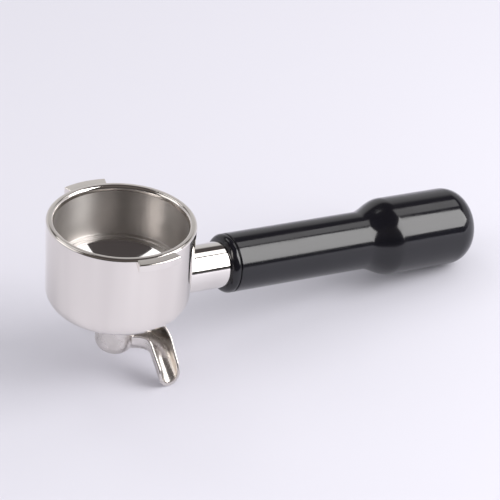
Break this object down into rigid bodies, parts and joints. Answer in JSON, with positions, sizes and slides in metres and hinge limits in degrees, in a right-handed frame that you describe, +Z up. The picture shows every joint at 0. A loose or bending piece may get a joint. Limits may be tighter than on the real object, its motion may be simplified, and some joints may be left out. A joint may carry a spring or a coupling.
{
  "type": "portafilter",
  "caption": "Espresso portafilter: polished cup with bayonet lugs, curved double spout underneath and a long black handle with a rounded bulb.",
  "frame": {"origin": "centre of the rim, on the head's axis, in the plane of the rim's flat face", "axes": "+Z up along the head's axis, out of its mouth; +X towards the handle; the lugs point along +Y and -Y"},
  "size_m": [0.2299, 0.0772, 0.0802],
  "materials": {
    "polished_steel": "mirror polished outside, satin turned inside",
    "polished_casting": "polished casting, slightly wavy",
    "polished_neck": "mirror polished",
    "brass": "machined",
    "gasket": "white sealing ring",
    "rubber_seal": "matt rubber",
    "black_plastic": "glossy moulded black",
    "plain_steel": "zinc-plated fastener"
  },
  "bodies": {
    "holder": {"head": "polished_steel", "spout_nipple": "brass", "spout_gasket": "gasket", "neck_sleeve": "polished_neck", "front_collar": "black_plastic", "neck_seal": "rubber_seal", "grip": "black_plastic", "locating_pin": "plain_steel", "handle_bolt": "plain_steel", "bolt_washer": "plain_steel", "spring_washer": "plain_steel", "end_cap": "black_plastic"},
    "spout": {"spout": "polished_casting"}
  },
  "joints": [
    {"name": "spout_swivel", "type": "hinge", "parent": "holder", "child": "spout", "pos_m": [0, 0, -0.052], "axis": [0, 0, 1], "range_deg": [-180, 180]}
  ]
}
